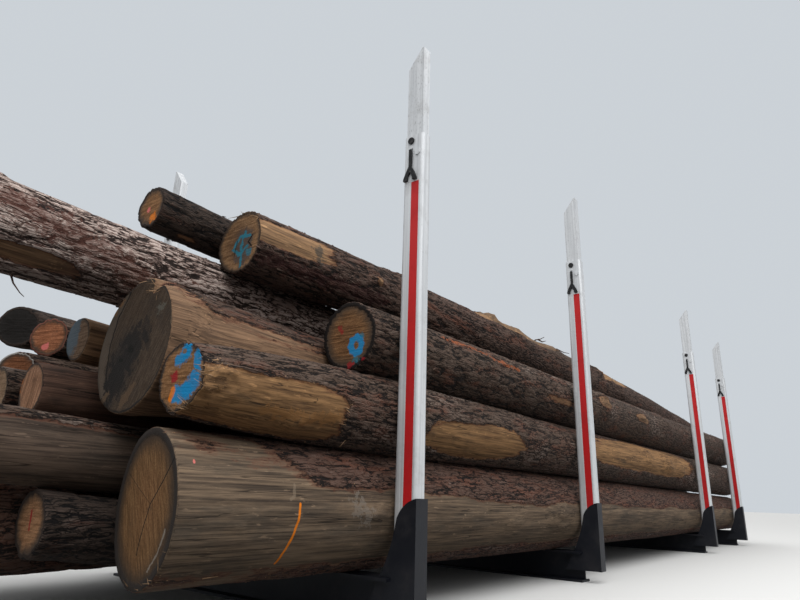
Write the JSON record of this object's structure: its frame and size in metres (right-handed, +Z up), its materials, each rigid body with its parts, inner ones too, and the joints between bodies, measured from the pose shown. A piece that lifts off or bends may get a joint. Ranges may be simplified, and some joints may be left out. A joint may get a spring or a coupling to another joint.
{
  "type": "stack of logs",
  "caption": "Stack of long hardwood logs lying between upright stakes on cross bolsters, with bark, bare wood and sawn ends.",
  "frame": {"origin": "middle of the footprint, at the undersides of the bolsters, on the floor", "axes": "+X along the logs, away from the sawn ends that the picture shows; +Y across, away from the side that the picture shows; +Z up"},
  "size_m": [11, 2.52, 3.005],
  "materials": {
    "log_01": "bark and weathered bare wood, matt",
    "log_02": "bark and weathered bare wood, matt",
    "log_03": "bark and weathered bare wood, matt",
    "log_04": "bark and weathered bare wood, matt",
    "log_05": "bark and weathered bare wood, matt",
    "log_06": "bark and weathered bare wood, matt",
    "log_07": "bark and weathered bare wood, matt",
    "log_08": "bark and weathered bare wood, matt",
    "log_09": "bark and weathered bare wood, matt",
    "log_10": "bark and weathered bare wood, matt",
    "log_11": "bark and weathered bare wood, matt",
    "log_12": "bark and weathered bare wood, matt",
    "log_13": "bark and weathered bare wood, matt",
    "log_14": "bark and weathered bare wood, matt",
    "log_15": "bark and weathered bare wood, matt",
    "log_16": "bark and weathered bare wood, matt",
    "log_17": "bark and weathered bare wood, matt",
    "log_18": "bark and weathered bare wood, matt",
    "log_19": "bark and weathered bare wood, matt",
    "log_20": "bark and weathered bare wood, matt",
    "log_21": "bark and weathered bare wood, matt",
    "log_22": "bark and weathered bare wood, matt",
    "log_23": "bark and weathered bare wood, matt",
    "log_24": "bark and weathered bare wood, matt",
    "log_25": "bark and weathered bare wood, matt",
    "log_26": "bark and weathered bare wood, matt",
    "log_27": "bark and weathered bare wood, matt",
    "black_steel": "black paint, satin",
    "stake_aluminium": "drawn, satin, with a red stripe down one face",
    "extension_aluminium": "drawn, weathered",
    "latch_steel": "dark, oily"
  },
  "bodies": {
    "root": {"log_01": "log_01", "log_02": "log_02", "log_03": "log_03", "log_04": "log_04", "log_05": "log_05", "log_06": "log_06", "log_07": "log_07", "log_08": "log_08", "log_09": "log_09", "log_10": "log_10", "log_11": "log_11", "log_12": "log_12", "log_13": "log_13", "log_14": "log_14", "log_15": "log_15", "log_16": "log_16", "log_17": "log_17", "log_18": "log_18", "log_19": "log_19", "log_20": "log_20", "log_21": "log_21", "log_22": "log_22", "log_23": "log_23", "log_24": "log_24", "log_25": "log_25", "log_26": "log_26", "log_27": "log_27", "bolster_1": "black_steel", "bolster_2": "black_steel", "bolster_3": "black_steel", "bolster_4": "black_steel", "stake_1_near": "stake_aluminium", "extension_1_near": "extension_aluminium", "stake_1_far": "stake_aluminium", "extension_1_far": "extension_aluminium", "stake_2_near": "stake_aluminium", "extension_2_near": "extension_aluminium", "stake_2_far": "stake_aluminium", "extension_2_far": "extension_aluminium", "stake_3_near": "stake_aluminium", "extension_3_near": "extension_aluminium", "stake_3_far": "stake_aluminium", "extension_3_far": "extension_aluminium", "stake_4_near": "stake_aluminium", "extension_4_near": "extension_aluminium", "stake_4_far": "stake_aluminium", "extension_4_far": "extension_aluminium", "latch_pins": "latch_steel", "latch_levers": "latch_steel"}
  },
  "joints": []
}
